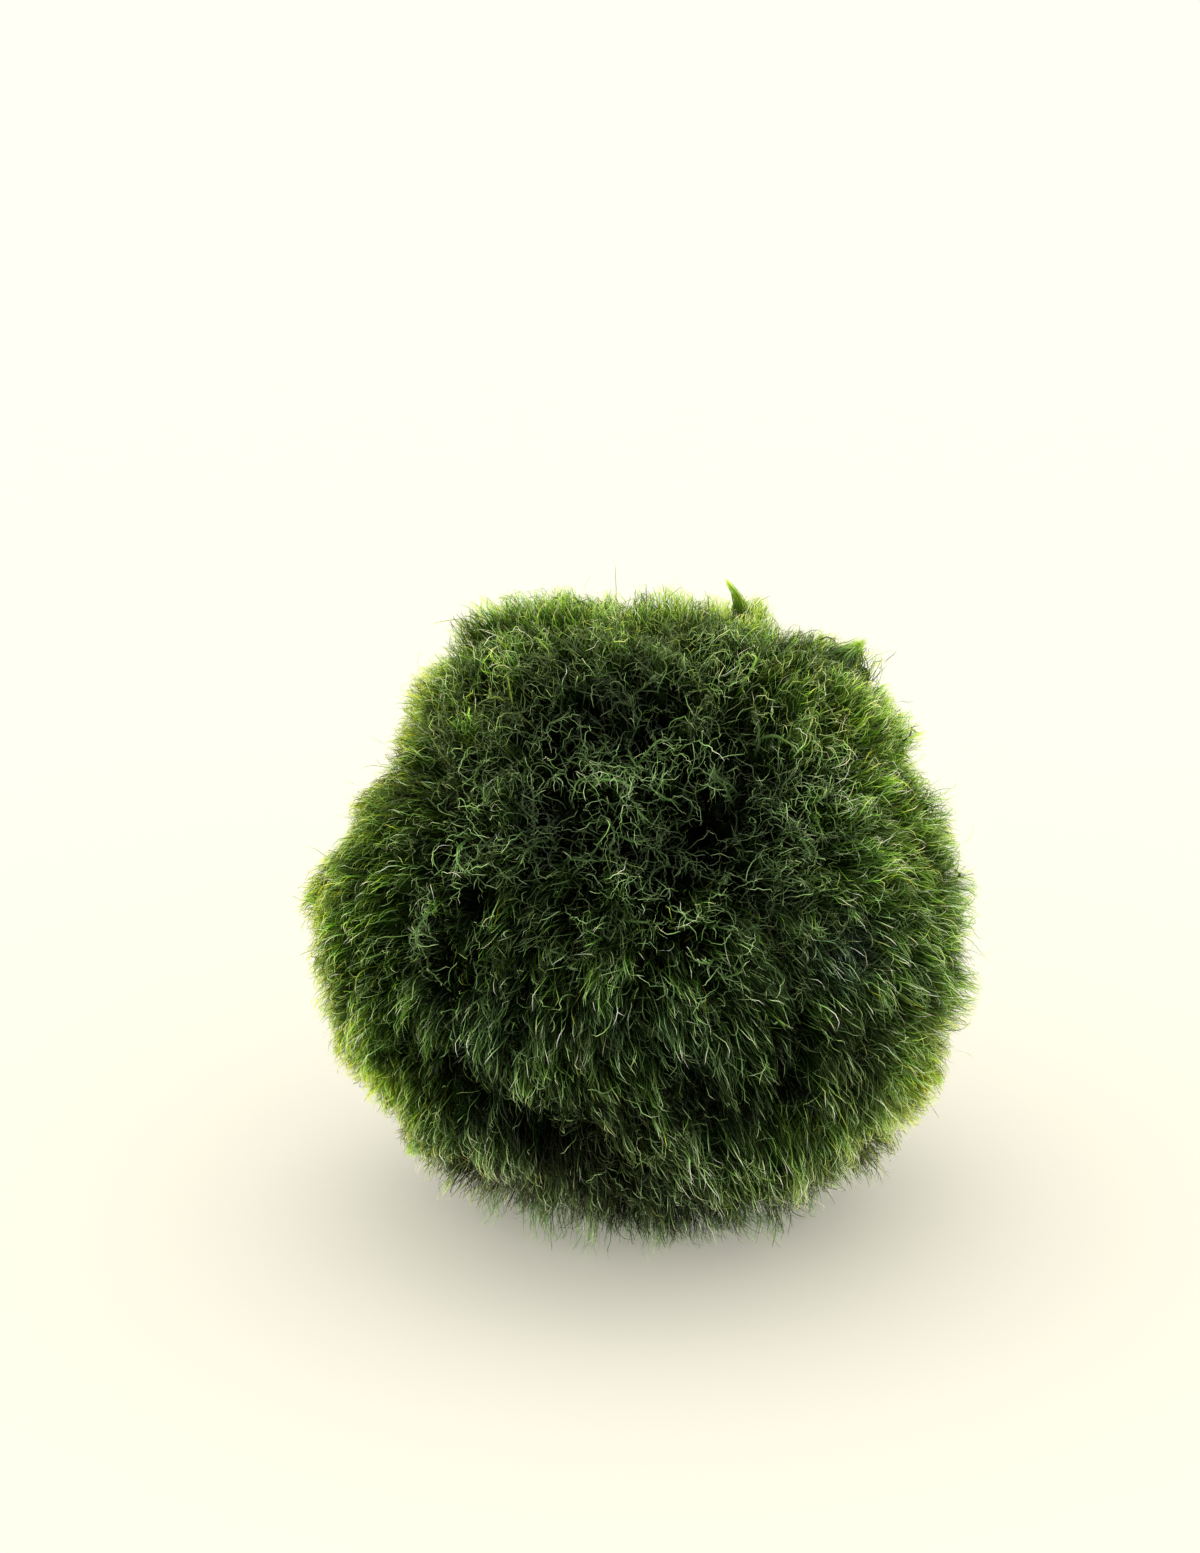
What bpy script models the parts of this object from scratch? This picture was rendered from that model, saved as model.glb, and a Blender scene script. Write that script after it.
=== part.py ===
"""A marimo moss ball: one lumpy ball of matted green algae, resting on a small flat spot.

The solid is the form that the tips of the filaments make: a squashed ball with lobes and creases,
covered in several hundred tufts that lie like shingles, away from the crown of the growth and down.
Units are metres and +Z is up. The origin is the middle of the flat spot's plane, under the middle
of the ball's box, and the ball's best side faces -Y.
"""

import math

import bmesh
import bpy
from mathutils import Vector, noise

MM = 0.001

# Overall size across the tips of the tufts
WIDTH = 51.0 * MM
DEPTH = 49.0 * MM
HEIGHT = 47.0 * MM

# The flat spot: how much of the ball's underside is pressed flat
FLAT_RADIUS = 8.0 * MM
PRESSED_SHARE = 0.9

# The grid on each side of the cube that is blown up into the ball
GRID = 28

# The best side is seen from this far above the horizon, and the form is described as seen from there
SEEN_FROM = math.radians(20)

# The outline of the best side: angle round it (0 is right, 90 is up) and radius in mm
OUTLINE = (
    (0, 24.1),
    (28, 23.3),
    (50, 24.3),
    (72, 22.8),
    (92, 22.6),
    (117, 24.4),
    (132, 23.7),
    (148, 21.5),
    (176, 24.0),
    (195, 24.4),
    (221, 25.0),
    (254, 23.5),
    (276, 24.0),
    (300, 25.3),
    (328, 25.7),
    (346, 24.7),
)

# The ball's radius in mm towards the viewer of its best side, and away from them
FRONT_RADIUS = 23.4
BACK_RADIUS = 22.6

# Broad lobes and hollows: angle round the outline, angle towards the viewer, height in mm
# (hollows are negative) and half width, angles in degrees
LOBES = (
    ("left lobe", 187, 24, 1.0, 13),
    ("front bulge", 268, 55, 1.0, 26),
    ("upper left bulge", 118, 40, 0.9, 20),
    ("upper right slope", 38, 48, -0.8, 18),
    ("crown hollow", 50, 72, -1.3, 13),
    ("back left hollow", 150, -50, -1.3, 18),
    ("back right lobe", 20, -48, 1.1, 22),
    ("back top lobe", 95, -40, 0.8, 20),
    ("back low lobe", 250, -50, 0.9, 20),
)

# Creases between lobes: points as (angle round the outline, angle towards the viewer) in degrees,
# then depth and half width in mm
CREASES = (
    ("left crease", ((139, 26), (156, 36), (179, 39), (199, 38)), 2.2, 2.0),
    ("under the left locks", ((230, 40), (248, 45), (262, 46)), 1.9, 1.7),
    ("under the right locks", ((283, 45), (297, 43), (307, 38)), 2.0, 1.6),
    ("right crease", ((350, 60), (336, 49), (323, 36)), 1.3, 2.2),
    ("crown gap", ((102, 60), (85, 66), (60, 76)), 1.2, 1.6),
    ("back crease", ((60, -40), (95, -55), (140, -62), (185, -50)), 1.4, 2.0),
    ("back low crease", ((200, -40), (250, -62), (310, -50)), 1.2, 2.0),
)

# Big locks: where the tip lies, then height, half width and length in mm
LOCKS = (
    ("right front lock", 299, 50, 2.6, 3.6, 13),
    ("middle front lock", 274, 54, 2.2, 3.4, 11),
    ("left front lock", 249, 51, 2.5, 3.8, 12),
    ("lower left lock", 229, 46, 2.0, 3.2, 9),
    ("left slope lock", 196, 58, 1.8, 3.4, 11),
    ("lobe lock", 188, 20, 1.9, 3.0, 9),
    ("lower lobe lock", 207, 22, 1.9, 3.0, 9),
    ("shoulder lock", 126, 30, 2.0, 3.4, 9),
    ("upper lock", 100, 36, 1.8, 3.2, 9),
    ("upper right lock", 44, 26, 2.2, 3.2, 9),
    ("right lock", 8, 40, 2.0, 3.4, 10),
    ("lower right lock", 318, 26, 2.2, 3.4, 9),
    ("lower fringe", 262, 24, 1.9, 3.2, 9),
    ("right fringe", 287, 25, 1.9, 3.0, 9),
)

# Tufts that stand out from the outline: where they are, height in mm and half width in degrees
LONE_TUFTS = (
    ("upper right tuft", 48, 2, 2.0, 5),
    ("top spike", 73, 0, 2.0, 3.5),
    ("left point", 180, 3, 1.9, 5),
    ("lower left tuft", 229, 8, 1.2, 6),
    ("right tuft", 329, 4, 1.2, 6),
)

# Tufts all over: how many, their mean size, and how far their tips lean for each part of their height
TUFT_COUNT = 320
TUFT_HEIGHT = 2.0 * MM
TUFT_HALF_WIDTH = 2.5 * MM
TUFT_LENGTH = 7.0 * MM
TUFT_LEAN = 0.7

# How far a tuft strays from its even place, as a share of the spacing, and its size from its mean
TUFT_STRAY = 0.45
TUFT_SIZES = (0.65, 1.35)
SEED = 7

# A tuft is this narrow at its tip, is full width this share of its length back from the tip,
# and drops to nothing within this share of its length past the tip
TIP_WIDTH = 0.35
TIP_TAPER = 0.4
TIP_FALL = 0.22

# The crown, where the filaments point straight at the viewer, and what makes them lean elsewhere:
# away from the crown, down, and with a swirl of this many waves across the ball
CROWN = (40, 76)
AWAY = 0.6
DROOP = 0.55
SWIRL = 0.6
SWIRL_WAVES = 2.2


def facing(round_deg, toward_deg):
    """The direction at these angles round the outline and towards the viewer of the best side."""
    across, toward = math.radians(round_deg), math.radians(toward_deg)
    up = Vector((0, math.sin(SEEN_FROM), math.cos(SEEN_FROM)))
    viewer = Vector((0, -math.cos(SEEN_FROM), math.sin(SEEN_FROM)))
    rim = Vector((1, 0, 0)) * math.cos(across) + up * math.sin(across)
    return rim * math.cos(toward) + viewer * math.sin(toward)


def falloff(angle, half_width):
    """1 at no distance, 0.5 at the half width and towards 0 beyond it."""
    return 0.5 ** ((angle / half_width) ** 2)


def outline_radius(round_deg):
    """The outline's radius at this angle, eased from each point of the outline to the next."""
    first_angle, first_radius = OUTLINE[0]
    nexts = OUTLINE[1:] + ((first_angle + 360, first_radius),)
    for (start, low), (end, high) in zip(OUTLINE, nexts):
        if start <= round_deg <= end:
            share = (round_deg - start) / (end - start)
            ease = share * share * (3 - 2 * share)
            return (low + (high - low) * ease) * MM
    return first_radius * MM


def plain_radius(direction):
    """The ball without lobes: the outline at its rim, and the front and back radius at its poles."""
    right, up, viewer = (direction.dot(facing(*angles)) for angles in ((0, 0), (90, 0), (0, 90)))
    rim = outline_radius(math.degrees(math.atan2(up, right)) % 360)
    pole = (FRONT_RADIUS if viewer > 0 else BACK_RADIUS) * MM
    return rim + (pole - rim) * viewer * viewer


def lean_at(direction):
    """The way the filaments lean at this place: away from the crown, down, and with a swirl."""
    away = (direction - facing(*CROWN)).normalized()
    swirl = noise.noise_vector(direction * SWIRL_WAVES)
    pull = away * AWAY + Vector((0, 0, -DROOP)) + swirl * SWIRL
    return (pull - direction * pull.dot(direction)).normalized()


def make_tufts():
    """Tip, lean, height, half width and length of each tuft: even ones all over, then the locks."""
    turn = math.pi * (3 - math.sqrt(5))
    spacing = math.sqrt(4 * math.pi / TUFT_COUNT)
    noise.seed_set(SEED)
    tufts = []
    for i in range(TUFT_COUNT):
        z = 1 - 2 * (i + 0.5) / TUFT_COUNT
        across = math.sqrt(1 - z * z)
        even = Vector((across * math.cos(i * turn), across * math.sin(i * turn), z))
        tip = (even + noise.random_unit_vector() * TUFT_STRAY * spacing).normalized()
        low, high = TUFT_SIZES
        height, half_width, length = (
            mean * (low + (high - low) * noise.random())
            for mean in (TUFT_HEIGHT, TUFT_HALF_WIDTH, TUFT_LENGTH)
        )
        tufts.append((tip, lean_at(tip), height, half_width, length))
    for _, round_deg, toward_deg, height, half_width, length in LOCKS:
        tip = facing(round_deg, toward_deg)
        tufts.append((tip, lean_at(tip), height * MM, half_width * MM, length * MM))
    return tufts


def distance_to_path(direction, path):
    """The angle from a direction to the nearest point of a chain of directions."""
    nearest = math.pi
    for start, end in zip(path, path[1:]):
        along = end - start
        share = (direction - start).dot(along) / along.length_squared
        point = start + along * min(1, max(0, share))
        nearest = min(nearest, direction.angle(point))
    return nearest


def broad_height(direction, radius, creases):
    """The lobes, hollows and creases at this place, as a height over the plain ball."""
    height = 0
    for _, round_deg, toward_deg, high, half_width in LOBES:
        angle = direction.angle(facing(round_deg, toward_deg))
        height += high * MM * falloff(angle, math.radians(half_width))
    for path, deep, half_width in creases:
        height -= deep * MM * falloff(distance_to_path(direction, path) * radius, half_width * MM)
    return height


def tuft_height(direction, radius, tufts):
    """The highest tuft at this place. A tuft rises from its root to a narrow tip, then drops."""
    highest = 0
    for tip, lean, height, half_width, length in tufts:
        offset = (direction - tip) * radius
        if offset.length > length:
            continue
        along = offset.dot(lean) / length
        across = (offset - lean * along * length).length / half_width
        rise = 1 + along if along < 0 else 1 - along / TIP_FALL
        width = TIP_WIDTH + (1 - TIP_WIDTH) * min(1, max(0, -along / TIP_TAPER))
        highest = max(highest, height * max(0, rise) * max(0, 1 - (across / width) ** 2))
    return highest


def lone_tuft_height(direction):
    """The few long tufts that stand out from the outline."""
    height = 0
    for _, round_deg, toward_deg, high, half_width in LONE_TUFTS:
        angle = direction.angle(facing(round_deg, toward_deg))
        share = max(0, 1 - angle / math.radians(2 * half_width))
        height = max(height, high * MM * share)
    return height


def shaped_point(direction, tufts, creases):
    """Where the skin of tips lies in this direction, seen from the middle of the ball."""
    radius = plain_radius(direction)
    raised = tuft_height(direction, radius, tufts)
    reach = radius + broad_height(direction, radius, creases) + raised + lone_tuft_height(direction)
    return direction * reach + lean_at(direction) * raised * TUFT_LEAN


def press_flat(mesh):
    """Lowers the ball until nearly all of its underside is flat out to the flat spot's radius."""
    near = sorted(v.co.z for v in mesh.verts if v.co.z < 0 and v.co.xy.length < FLAT_RADIUS)
    floor = near[int(PRESSED_SHARE * len(near))]
    for v in mesh.verts:
        v.co.z = max(v.co.z, floor) - floor


def fit_to_size(mesh):
    """Scales the ball to its overall size and puts the origin under the middle of its box."""
    low = Vector(min(v.co[k] for v in mesh.verts) for k in range(3))
    high = Vector(max(v.co[k] for v in mesh.verts) for k in range(3))
    middle = Vector(((low.x + high.x) / 2, (low.y + high.y) / 2, low.z))
    size = high - low
    for v in mesh.verts:
        place = v.co - middle
        v.co = (place.x * WIDTH / size.x, place.y * DEPTH / size.y, place.z * HEIGHT / size.z)


def make_ball_mesh():
    """A cube cut into a grid and blown up into a ball, then shaped tuft by tuft."""
    mesh = bmesh.new()
    bmesh.ops.create_cube(mesh, size=2)
    bmesh.ops.subdivide_edges(mesh, edges=mesh.edges[:], cuts=GRID - 1, use_grid_fill=True)
    tufts = make_tufts()
    creases = [
        ([facing(*point) for point in points], deep, half_width)
        for _, points, deep, half_width in CREASES
    ]
    for v in mesh.verts:
        evened = Vector(math.tan(side * math.pi / 4) for side in v.co)
        v.co = shaped_point(evened.normalized(), tufts, creases)
    press_flat(mesh)
    fit_to_size(mesh)
    bmesh.ops.triangulate(mesh, faces=mesh.faces[:])
    bmesh.ops.recalc_face_normals(mesh, faces=mesh.faces[:])
    ball = bpy.data.meshes.new("moss_ball")
    mesh.to_mesh(ball)
    mesh.free()
    ball.shade_smooth()
    return ball


def make_moss_material():
    """Damp, dark green algae."""
    material = bpy.data.materials.new("moss")
    material.use_nodes = True
    shader = material.node_tree.nodes["Principled BSDF"]
    shader.inputs["Base Color"].default_value = (0.035, 0.085, 0.022, 1)
    shader.inputs["Roughness"].default_value = 0.85
    shader.inputs["Metallic"].default_value = 0
    return material


def clear_scene():
    for obj in list(bpy.data.objects):
        bpy.data.objects.remove(obj)


def main():
    clear_scene()
    collection = bpy.data.collections.new("marimo_moss_ball")
    bpy.context.scene.collection.children.link(collection)
    ball = bpy.data.objects.new("moss_ball", make_ball_mesh())
    ball.data.materials.append(make_moss_material())
    collection.objects.link(ball)


main()
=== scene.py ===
"""The marimo moss ball's looks: a dark felt, a short dense undercoat, combed locks of fine filaments,
matted threads round the crown and a few stray hairs, on a pale surface in soft daylight.

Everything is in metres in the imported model's frame. The filaments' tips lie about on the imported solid's
skin, and the felt and the filaments replace the solid.
"""
import math

import bmesh
import bpy
import numpy as np
from mathutils import Matrix, Vector, noise
from mathutils.bvhtree import BVHTree


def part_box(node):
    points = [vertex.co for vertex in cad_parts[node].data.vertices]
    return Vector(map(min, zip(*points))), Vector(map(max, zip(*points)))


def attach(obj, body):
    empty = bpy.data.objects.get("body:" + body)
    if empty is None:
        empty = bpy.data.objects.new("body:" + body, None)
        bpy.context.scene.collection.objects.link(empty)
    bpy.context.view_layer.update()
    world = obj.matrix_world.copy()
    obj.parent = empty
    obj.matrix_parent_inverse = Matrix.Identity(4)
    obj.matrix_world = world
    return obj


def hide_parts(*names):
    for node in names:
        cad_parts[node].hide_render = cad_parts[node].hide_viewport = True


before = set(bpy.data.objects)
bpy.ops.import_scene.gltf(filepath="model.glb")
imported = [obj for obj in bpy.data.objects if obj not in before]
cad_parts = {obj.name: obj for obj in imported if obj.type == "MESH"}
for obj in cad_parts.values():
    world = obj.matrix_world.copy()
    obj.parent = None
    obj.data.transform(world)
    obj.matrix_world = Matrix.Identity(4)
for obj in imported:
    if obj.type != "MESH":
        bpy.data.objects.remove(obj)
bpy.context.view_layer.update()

MM = 0.001
SEED = 7
rng = np.random.default_rng(SEED)

# The camera: how far above the horizon it looks from, its lens, and where in the photograph's frame
# the middle of the ball's box shows and how wide the ball is there, in pixels
SEEN_FROM = math.radians(20)
LENS_MM = 85
SENSOR_MM = 36
FRAME_SIZE = (1200, 1553)
BALL_AT = (636.2, 897.5)
BALL_WIDTH_PX = 674

# The tufts, by the rule and the values that shape the solid: tip, lean, height, half width, length
TUFT_COUNT = 320
TUFT_HEIGHT = 2.0 * MM
TUFT_HALF_WIDTH = 2.5 * MM
TUFT_LENGTH = 7.0 * MM
TUFT_STRAY = 0.45
TUFT_SIZES = (0.65, 1.35)
TIP_WIDTH = 0.35
TIP_TAPER = 0.4
TIP_FALL = 0.22
CROWN = (40, 76)
AWAY = 0.6
DROOP = 0.55
SWIRL = 0.6
SWIRL_WAVES = 2.2

# The large locks among them: the angles of each tip on the best side, then its height, half width and
# length in mm
LOCKS = (
    (299, 50, 2.6, 3.6, 13), (274, 54, 2.2, 3.4, 11), (249, 51, 2.5, 3.8, 12), (229, 46, 2, 3.2, 9),
    (196, 58, 1.8, 3.4, 11), (188, 20, 1.9, 3, 9), (207, 22, 1.9, 3, 9), (126, 30, 2, 3.4, 9),
    (100, 36, 1.8, 3.2, 9), (44, 26, 2.2, 3.2, 9), (8, 40, 2, 3.4, 10), (318, 26, 2.2, 3.4, 9),
    (262, 24, 1.9, 3.2, 9), (287, 25, 1.9, 3, 9),
)

# Matted threads: how many stems and how many hairs on each, how many loose threads, how many steps a
# stem and a loose thread take and how long a step is, and how wide they all are, in mm
STEMS = 150
STEM_HAIRS = 30
LOOSE = 3200
STEM_STEPS = 8
STEM_STEP = 0.42 * MM
LOOSE_STEPS = 9
LOOSE_STEP = 0.27 * MM
STEM_WIDTHS = (0.12, 0.26)
STEM_HAIR_WIDTHS = (0.045, 0.075)
LOOSE_WIDTHS = (0.04, 0.065)

# Height of a stem and of a loose thread above the skin, in mm: at its start, its rise between, its end
STEM_ARCH = (-1.6, 1.2, -0.8)
LOOSE_ARCH = (-0.1, 0.8, -0.1)

# How much lower the loose threads lie at the outline, and how far that reaches towards the viewer
LOOSE_LOWER = 1.0 * MM
LOOSE_BELT = 24

# Tufts that stand out of the outline: the angles of each on the best side, the turn of its axis round
# the outline in degrees, its height and the half width of its foot in mm, and how many hairs. Their
# feet are spread for a ball of this radius.
POINTED_TUFTS = (
    (69.5, 2, 60, 2.6, 0.4, 110),
    (49, 4, -14, 1, 0.9, 170),
    (180, 4, -8, 0.6, 0.9, 110),
    (228, 10, 10, 0.9, 0.9, 110),
    (329, 5, -14, 0.6, 0.9, 90),
)
FOOT_RADIUS = 26 * MM
TUFT_HAIR_WIDTHS = (0.06, 0.10)

# Stray hairs: how many, their mean and greatest length, and their widths in mm
STRAYS = 600
STRAY_MEAN = 1.0 * MM
STRAY_MOST = 3 * MM
STRAY_WIDTHS = (0.045, 0.065)

# Long single hairs at the outline: the angles of each one's foot on the best side, the turn of its way
# round the outline in degrees, and its length in mm. All of them are of one width.
LONG_HAIRS = (
    (118, 2, 71, 4.5),
    (118, 2, 40, 2.4),
    (138, 4, 50, 2.0),
    (20, 3, -15, 1.8),
)
LONG_HAIR_WIDTH = 0.09 * MM

# Small tufts splayed on the surface round the flat spot: how many, how many hairs each has, how low
# they grow from, how far they reach and how high their tips end
SPLAYED = 70
SPLAYED_HAIRS = 14
SPLAYED_FROM = (-0.95, -0.80)
SPLAYED_REACH = (0.4 * MM, 2.0 * MM)
SPLAYED_HEIGHTS = (0.1 * MM, 0.9 * MM)
SPLAYED_WIDTHS = (0.045, 0.07)

# How many steps all these hairs have, and where their points are as shares of the way from root to tip
HAIR_STEPS = 6
SHARES = np.linspace(0, 1, HAIR_STEPS + 1)

# The felt beneath the tips: its depth, its grid on each side of the cube it is blown up from, and its
# least height above the surface
FELT_DEPTH = 1.1 * MM
FELT_GRID = 64
FELT_FOOT = 0.6 * MM

# The felt's colour, dark as the filaments' own dark green and as painted shade of the depths, and its
# colour where the algae are young and where rim glow is painted
FELT_DARK = (0.003, 0.012, 0.001)
FELT_YOUTH_AND_RIM_GLOW = (0.025, 0.065, 0.004)

# The locks that the filaments gather in: how many, their height, half width and length, how much deeper
# their edges end, and how much they differ in tone
LOCK_COUNT = 720
LOCK_SIZE = (1.0 * MM, 1.35 * MM, 4.6 * MM)
LOCK_EDGE = 0.9 * MM
LOCK_TONES = 0.38

# How far the filaments of a lock draw together towards its tip
GATHER = 0.7

# Where the outline is drawn in: the angles and half width of each place in degrees, and how far in mm
DRAWN_IN = (
    (100, 4, 8, 1.1), (47, 4, 8, 0.9), (25, 4, 8, 0.5), (70, 4, 6, 0.6), (163, 4, 8, 0.4),
    (182, 4, 10, 0.7), (230, 4, 7, 0.9), (320, 4, 7, 0.6), (273, 0, 10, -0.5), (341, 4, 6, -0.5),
)

# How deep the filaments start
ROOT_DEPTH = 1.9 * MM

# How much further the filaments reach low down, for each unit of the way from the middle to the floor
FOOT_PROUD = 1.4 * MM

# How much a strand curls where it is combed, and how much more where it is matted and young
CURL_COMBED = 0.5
CURL_MATTED = 0.95
CURL_FRESH = 0.5

# The most that a strand curls to either side, in mm
MOST_CURL = 0.55

# How far the points of a strand stray from its curve
KINK = 0.055 * MM

# How far a strand turns about itself on its way to the tip, in radians
TWIST = 0.8

# How the filaments lean besides: how strongly away from the crown, how much they droop there, and how
# much and how often their lean swirls
COMB_PULL = 0.12
COMB_DROOP = 0.3
COMB_SWIRL = 0.45
COMB_WAVES = 2.6

# How the filaments are laid on the best side: the angles of each place, and the way that they point
# there, in degrees round the view
LAID_WIDTH = 12
LAID = (
    (166, 23, 250), (184, 25, 278), (201, 22, 302), (203, 40, 280), (221, 25, 312), (148, 31, 206),
    (162, 56, 256), (199, 57, 262), (232, 47, 286), (160, 68, 215), (208, 69, 234), (249, 35, 288),
    (180, 82, 198), (245, 71, 246), (266, 50, 302), (281, 75, 252), (275, 32, 290), (306, 68, 297),
    (289, 52, 298), (345, 65, 327), (317, 55, 313), (301, 38, 282), (339, 50, 312), (318, 36, 270),
    (4, 40, 333), (337, 32, 328), (31, 28, 12), (50, 28, 62), (85, 60, 85), (52, 52, 75), (130, 33, 192),
)

# The matted net: the spacing of its threads in radians, their share, and how deep its meshes are in mm,
# and the deepest that any gap is
NET_SPACING = 0.24
NET_THREADS = 0.16
NET_DEPTH = 1.7
DEEPEST = 3.2

# How fast the filaments thin out with the depth of a gap
BARE = 0.5

# How much deeper the filaments end at the edges of the tufts than on their crests
EDGE_DEPTH = 0.8 * MM

# What lightens a strand, or darkens it where below 0, in powers of e: to be young, together with the
# painted rim glow; to be matted; to be on a crest, which is painted light, with painted shade off it; to
# end deeper (for each mm), which is painted shade; to be in a gap or a mesh, which is painted shade; and to
# be in a lighter place, which is painted light, with darker places as painted shade
YOUTH_AND_RIM_GLOW_LIGHT = 0.95
MATTED_LIGHT = -0.28
CREST_LIGHT = 2.6
DEPTH_LIGHT = -0.7
HOLE_LIGHT = -0.3
MESH_LIGHT = -0.95
PLACE_LIGHT = 0.45

# The lightest that any colour gets, and how light is tinted on its way through a filament
LIGHTEST = 0.8
THROUGH_TINT = (1.5, 1.6, 0.7, 1)

# The pale surface: its size, its colour, and a faint glow that stands for the light of a bright room
FLOOR_SIZE = 6
FLOOR_COLOUR = (0.54, 0.53, 0.475, 1)
FLOOR_GLOW = (1, 0.97, 0.86, 1)
FLOOR_GLOW_STRENGTH = 0.2

# The light: the colours of the sky and the sun, the level of the even backdrop, the sky's level low down
# behind and before the ball and high up behind and before it, and how strong the sun is, how broad in
# degrees and where it shines from
SKY_COLOUR = (1.0, 0.970, 0.885, 1)
SUN_COLOUR = (1.0, 0.98, 0.93)
BACKDROP = 1.03
LOW_BACK = 1.85
LOW_FRONT = 5.0
SKY_BACK = 1.75
SKY_FRONT = 0.9
SUN_STRENGTH = 0.3
SUN_SIZE = 45
SUN_FROM = (-0.1, 0.3, 1.0)

# The skin of tips is read off the solid in this many directions
MAP_ROWS = 240
MAP_COLUMNS = 480

# How many places are compared with all the tufts at once, to save memory
OWNERS_AT_ONCE = 2000


def unit(vectors):
    """Vectors scaled to length 1."""
    return vectors / np.maximum(np.linalg.norm(vectors, axis=-1, keepdims=True), 1e-12)


def tangent_part(vectors, normals):
    """What is left of vectors when they are laid along the skin."""
    return vectors - normals * np.sum(vectors * normals, axis=-1, keepdims=True)


def random_tangents(ways):
    """A random vector along the skin at each of these places."""
    return tangent_part(rng.normal(size=ways.shape), ways)


def facing(round_deg, toward_deg):
    """The direction at these angles round the outline and towards the viewer of the best side."""
    across, toward = math.radians(round_deg), math.radians(toward_deg)
    up = np.array((0, math.sin(SEEN_FROM), math.cos(SEEN_FROM)))
    viewer = np.array((0, -math.cos(SEEN_FROM), math.sin(SEEN_FROM)))
    rim = np.array((1, 0, 0)) * math.cos(across) + up * math.sin(across)
    return rim * math.cos(toward) + viewer * math.sin(toward)


def waves(points, wavelength, seed, count=24):
    """A smooth random field of about -1 to 1: a sum of plane waves of like length."""
    own = np.random.default_rng(seed)
    ways = unit(own.normal(size=(count, 3)))
    pitch = 2 * math.pi / wavelength * own.uniform(0.6, 1.5, count)
    phases = own.uniform(0, 2 * math.pi, count)
    return np.sin(points @ (ways * pitch[:, None]).T + phases).sum(-1) * 0.7 / math.sqrt(count / 2)


def mixed(first, second, share):
    """What lies between the first and the second, at this share of the way."""
    return first * (1 - share) + second * share


def near(directions, round_deg, toward_deg, half_width_deg):
    """1 at a place on the best side, 0.5 at the half width and towards 0 beyond it."""
    angle = np.arccos(np.clip(directions @ facing(round_deg, toward_deg), -1, 1))
    return 0.5 ** ((angle / math.radians(half_width_deg)) ** 2)


def even_directions(count, stray):
    """Directions spread evenly over the sphere, each strayed a little from its place."""
    i = np.arange(count)
    z = 1 - 2 * (i + 0.5) / count
    across = np.sqrt(1 - z * z)
    turn = math.pi * (3 - math.sqrt(5)) * i
    even = np.stack((across * np.cos(turn), across * np.sin(turn), z), 1)
    spacing = math.sqrt(4 * math.pi / count)
    return unit(even + unit(rng.normal(size=even.shape)) * stray * spacing)


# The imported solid, and how far its skin reaches in every direction from its middle

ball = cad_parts["moss_ball"]
low, high = (np.array(corner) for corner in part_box("moss_ball"))
middle = (low + high) / 2
radius = (high - low).mean() / 2


def map_directions():
    """One direction for each row and column of the map, from straight up to straight down."""
    tilt = (np.arange(MAP_ROWS) / (MAP_ROWS - 1)) * math.pi
    turn = (np.arange(MAP_COLUMNS) / MAP_COLUMNS) * 2 * math.pi
    tilt, turn = np.meshgrid(tilt, turn, indexing="ij")
    return np.stack((np.sin(tilt) * np.cos(turn), np.sin(tilt) * np.sin(turn), np.cos(tilt)), -1)


def read_skin():
    """The distance from the middle to the outermost skin of the solid, for each place of the map."""
    corners = [v.co[:] for v in ball.data.vertices]
    faces = [p.vertices[:] for p in ball.data.polygons]
    tree = BVHTree.FromPolygons(corners, faces)
    start = Vector(middle)
    far = 0.05
    reach = np.empty(MAP_ROWS * MAP_COLUMNS)
    for i, way in enumerate(map_directions().reshape(-1, 3)):
        way = Vector(way)
        hit = tree.ray_cast(start + way * far, -way)
        reach[i] = (hit[0] - start).length
    return reach.reshape(MAP_ROWS, MAP_COLUMNS)


def read_map(reach, directions):
    """A map's values in these directions, blended between its places."""
    row = np.arccos(np.clip(directions[..., 2], -1, 1)) / math.pi * (MAP_ROWS - 1)
    column = np.arctan2(directions[..., 1], directions[..., 0]) / (2 * math.pi) % 1 * MAP_COLUMNS
    above = np.minimum(row.astype(int), MAP_ROWS - 2)
    left = column.astype(int) % MAP_COLUMNS
    down, along = row - above, column - column.astype(int)
    right = (left + 1) % MAP_COLUMNS
    top = mixed(reach[above, left], reach[above, right], along)
    bottom = mixed(reach[above + 1, left], reach[above + 1, right], along)
    return mixed(top, bottom, down)


skin = read_skin()


def on_skin(directions, lift):
    """Points this far above the skin of tips, in these directions from the middle."""
    return middle + directions * (read_map(skin, directions) + lift)[..., None]


# Where the filaments lean, and the tufts that they gather in


def away_and_down(directions, away, down):
    """A pull away from the crown and one straight down, together."""
    return unit(directions - facing(*CROWN)) * away + np.array((0, 0, -down))


def swirled(directions, often):
    """A smooth random vector at each place, which changes this often."""
    return np.array([noise.noise_vector(Vector(d) * often)[:] for d in directions])


def field(directions):
    """The lean at each place before it is scaled: away from the crown, down, and with a swirl."""
    pull = away_and_down(directions, AWAY, DROOP) + swirled(directions, SWIRL_WAVES) * SWIRL
    return tangent_part(pull, directions)


def comb(directions):
    """The lean of the filaments themselves: as laid on the best side, and a droop from the crown behind."""
    lean = unit(tangent_part(away_and_down(directions, 1, COMB_DROOP), directions)) * COMB_PULL
    for round_deg, toward_deg, heading in LAID:
        way = unit(tangent_part(facing(heading, 0), directions))
        lean = lean + way * near(directions, round_deg, toward_deg, LAID_WIDTH)[:, None]
    return unit(lean) + tangent_part(swirled(directions, COMB_WAVES), directions) * COMB_SWIRL


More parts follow.
